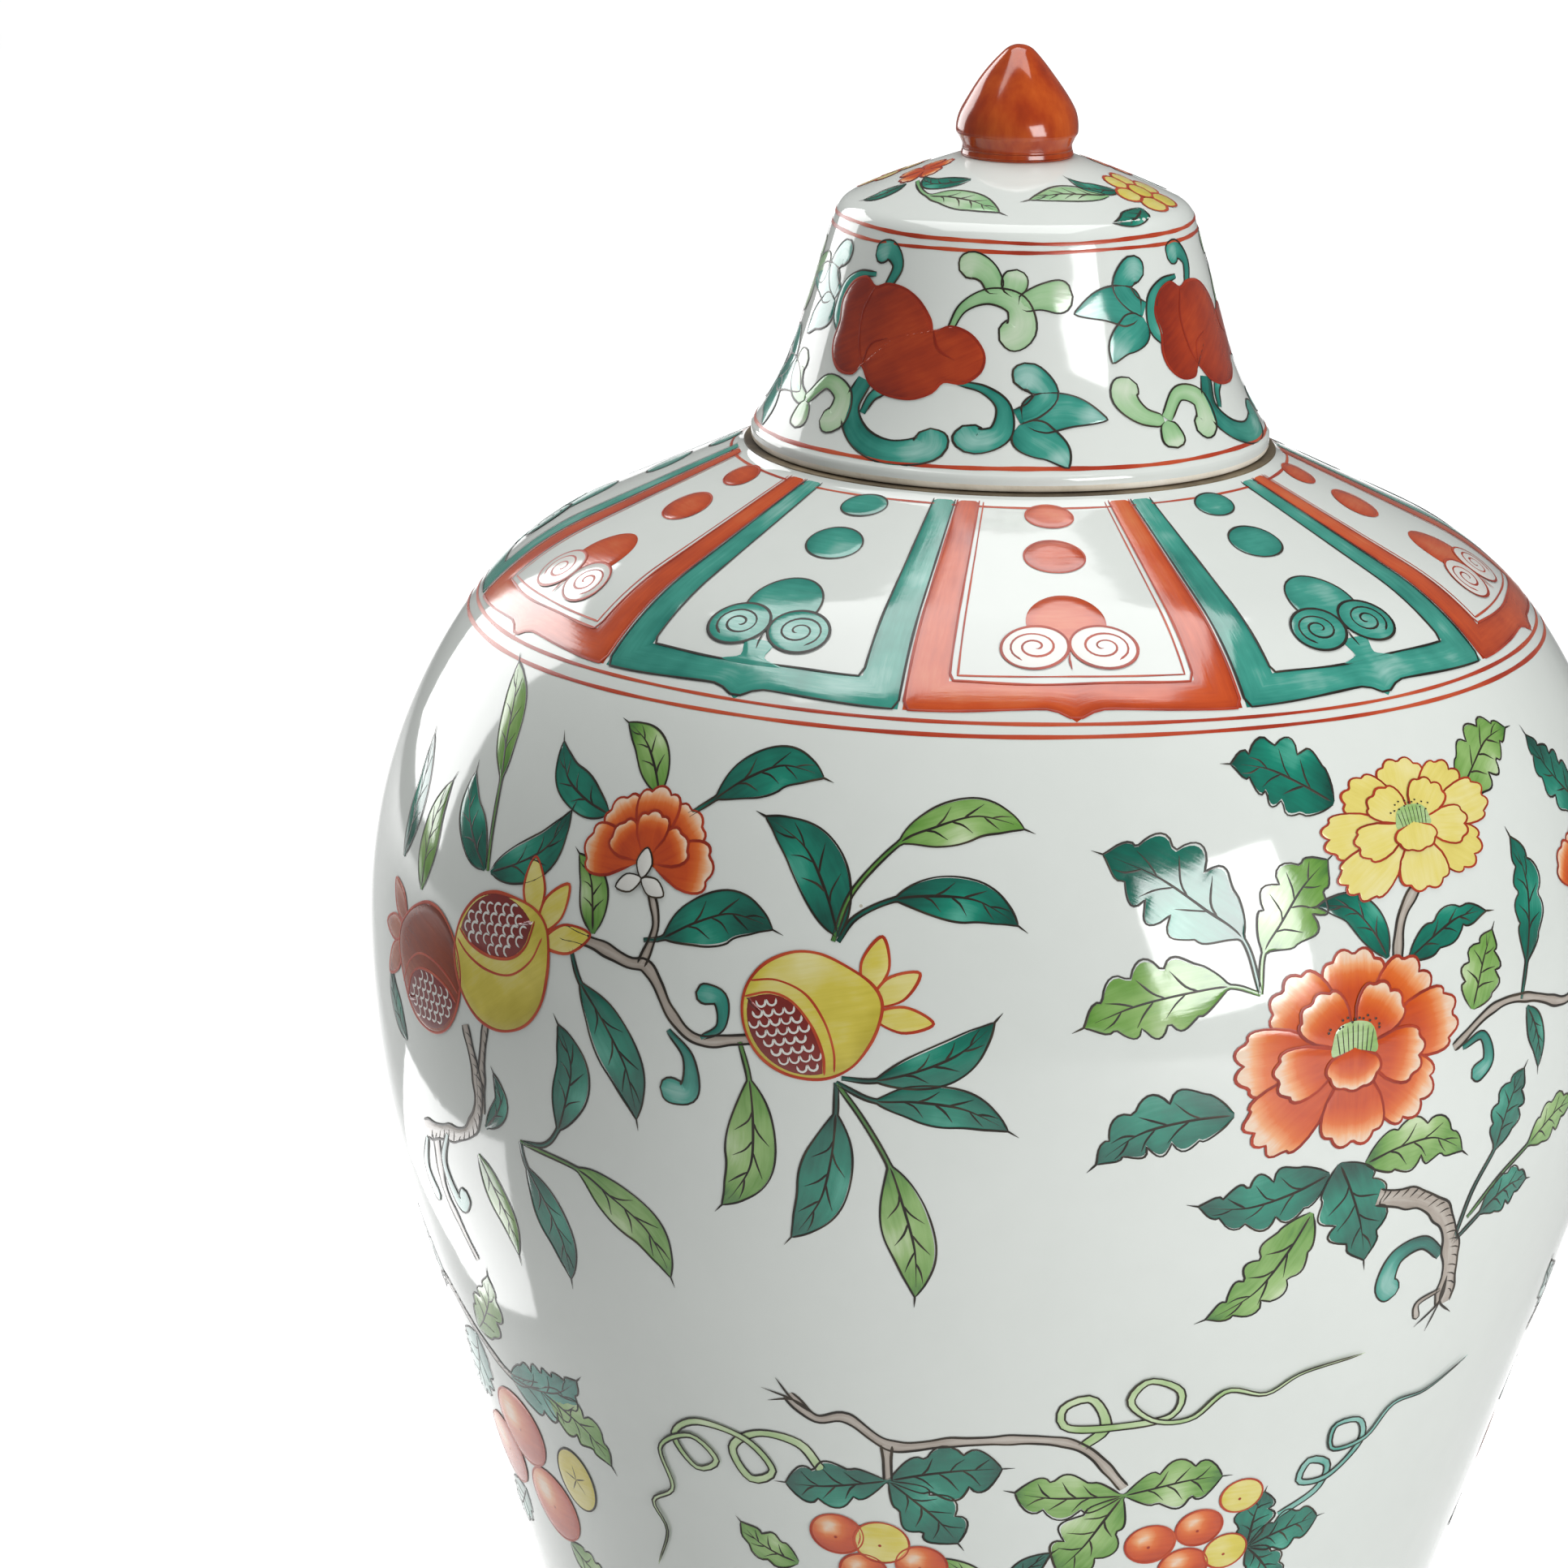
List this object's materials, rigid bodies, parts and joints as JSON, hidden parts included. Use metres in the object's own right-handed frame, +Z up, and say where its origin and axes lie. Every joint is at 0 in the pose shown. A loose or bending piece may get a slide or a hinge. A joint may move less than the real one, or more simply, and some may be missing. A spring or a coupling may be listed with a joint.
{
  "type": "ginger jar",
  "caption": "Porcelain baluster jar with a painted body, an upright collar on a flat seat, and a hat-shaped lid with a bud finial that lifts off.",
  "frame": {"origin": "centre of the foot ring's ground face", "axes": "+Z up along the jar's axis; the painted front shown faces -Y, with +X to its right"},
  "size_m": [0.27, 0.27, 0.4456],
  "materials": {
    "jar_glaze": "glossy clear glaze on a pale grey-white porcelain body, painted over with enamels",
    "lid_glaze": "glossy clear glaze on a pale grey-white porcelain body, painted over with enamels",
    "finial_enamel": "glossy iron-red enamel in thin brushed streaks"
  },
  "bodies": {
    "jar": {"jar_lower_section": "jar_glaze", "jar_upper_section": "jar_glaze", "jar_collar": "jar_glaze"},
    "lid": {"lid_cover": "lid_glaze", "lid_finial": "finial_enamel"}
  },
  "joints": [
    {"name": "lid_lift", "type": "slide", "parent": "jar", "child": "lid", "axis": [0, 0, 1], "range_m": [0, 0.15]}
  ]
}
